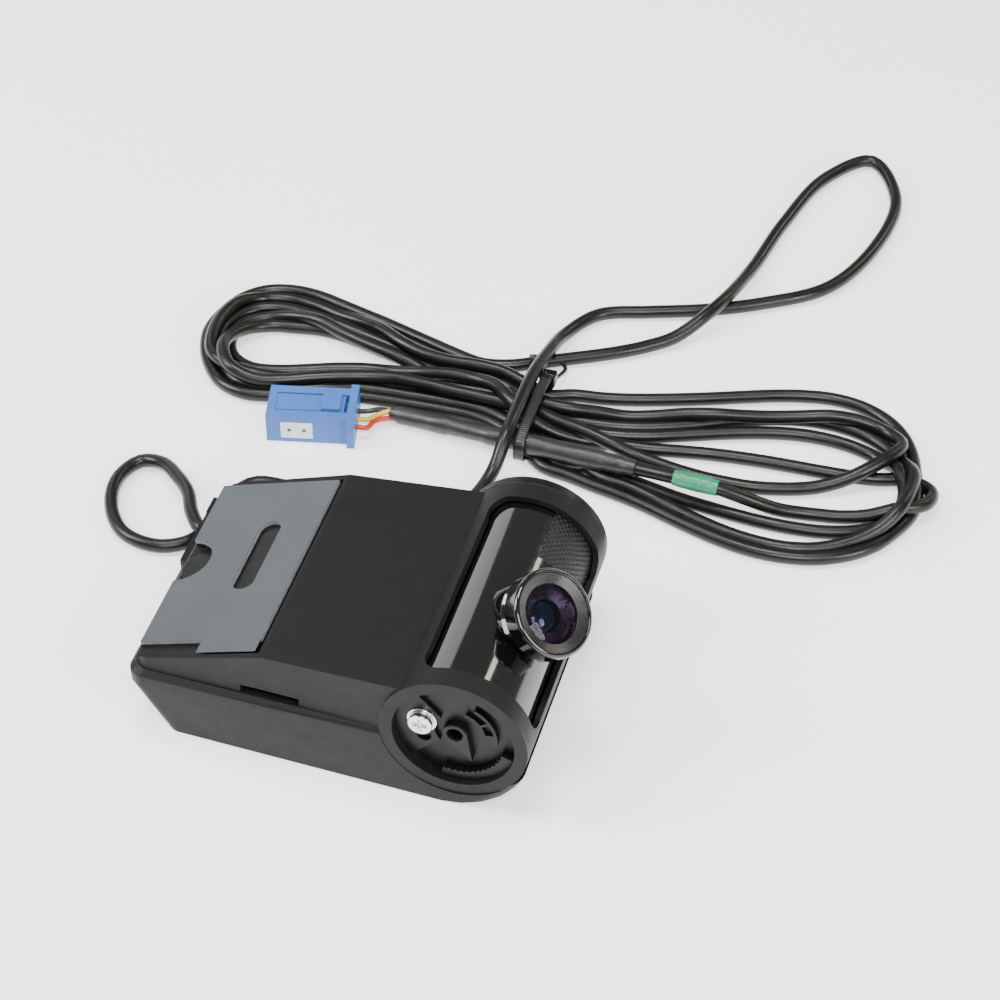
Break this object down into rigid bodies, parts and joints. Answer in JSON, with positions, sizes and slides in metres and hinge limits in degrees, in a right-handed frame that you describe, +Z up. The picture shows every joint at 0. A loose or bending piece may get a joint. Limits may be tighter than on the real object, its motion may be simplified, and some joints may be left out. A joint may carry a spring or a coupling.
{
  "type": "windscreen camera",
  "caption": "Wedge-shaped vehicle camera with a tilting lens barrel, slide-off adhesive mount plate, and a tied hank of cord ending in a connector.",
  "frame": {"origin": "centre of the housing's footprint, at the surface it stands on", "axes": "+X towards the lens, +Y along the barrel, +Z up"},
  "size_m": [0.1978, 0.2641, 0.0449],
  "materials": {
    "black_shell": "fine-textured black",
    "dark_plastic": "satin black",
    "gloss_black": "polished black",
    "grip_black": "embossed mesh",
    "grey_pad": "foam acrylic, grey",
    "grey_film": "satin translucent film",
    "screw_steel": "zinc plated",
    "shield_steel": "tin plated sheet",
    "board_green": "solder mask",
    "capacitor_sleeve": "shrink sleeve",
    "ivory_plastic": "natural nylon",
    "flex_amber": "polyimide film",
    "hood_grey": "matt grey",
    "lens_glass": "coated optical glass",
    "baffle_purple": "dark purple-black",
    "cord_pvc": "soft black PVC",
    "tie_nylon": "moulded nylon",
    "sleeve_pvc": "shrink tube",
    "tape_green": "PVC tape",
    "plug_blue": "moulded nylon",
    "plug_white": "moulded nylon",
    "contact_brass": "tinned brass",
    "wire_red": "PVC, one wire in red, one in yellow and one in black"
  },
  "bodies": {
    "body": {"lower_shell": "black_shell", "upper_cover": "black_shell", "far_end_cap": "dark_plastic", "index_scale": "dark_plastic", "lock_tab": "dark_plastic", "main_board": "board_green", "processor_shield": "shield_steel", "backup_capacitors": "capacitor_sleeve", "card_socket": "shield_steel", "cord_socket": "ivory_plastic", "flex_cable": "flex_amber", "case_screws": "screw_steel", "friction_washer": "shield_steel", "cord_gland": "cord_pvc", "cord_lead": "cord_pvc", "cord_hank": "cord_pvc", "cord_tail": "cord_pvc", "cable_tie": "tie_nylon", "wrap_sleeve": "sleeve_pvc", "heat_shrink": "sleeve_pvc", "marker_tape": "tape_green", "connector_housing": "plug_blue", "connector_retainer": "plug_white", "terminals": "contact_brass", "lead_wires": "wire_red"},
    "barrel": {"lens_barrel": "gloss_black", "barrel_end_plate": "dark_plastic", "angle_pointer": "dark_plastic", "grip_panel": "grip_black", "pod_housing": "gloss_black", "pod_bezel": "gloss_black", "lens_hood": "hood_grey", "front_lens": "lens_glass", "lens_baffle": "baffle_purple", "inner_lens": "lens_glass", "lens_tube": "dark_plastic", "image_sensor": "shield_steel", "sensor_board": "board_green"},
    "lock_screw": {"lock_screw": "screw_steel", "lock_washer": "screw_steel"},
    "mount_plate": {"mount_bracket": "dark_plastic", "adhesive_pad": "grey_pad", "release_liner": "grey_film"},
    "release_button": {"release_button": "dark_plastic"},
    "connector_latch": {"connector_latch": "plug_blue"}
  },
  "joints": [
    {"name": "barrel_tilt", "type": "hinge", "parent": "body", "child": "barrel", "pos_m": [0.0283, -0.00139, 0.0206], "axis": [0, 1, 0], "range_deg": [-32, 7]},
    {"name": "lock_screw_turn", "type": "hinge", "parent": "barrel", "child": "lock_screw", "pos_m": [0.02067, -0.03339, 0.02264], "axis": [0, -1, 0], "range_deg": [0, 360]},
    {"name": "mount_plate_slide", "type": "slide", "parent": "body", "child": "mount_plate", "axis": [-0.9517, 0, -0.3072], "range_m": [0, 0.008]},
    {"name": "release_button_press", "type": "slide", "parent": "body", "child": "release_button", "axis": [0.3072, 0, -0.9517], "range_m": [0, 0.0011], "stiffness_N_per_m": 400},
    {"name": "connector_latch_press", "type": "hinge", "parent": "body", "child": "connector_latch", "pos_m": [-0.052, 0.0744, 0.00775], "axis": [-0.2079, 0.9781, 0], "range_deg": [0, 4], "stiffness_Nm_per_rad": 0.2}
  ]
}
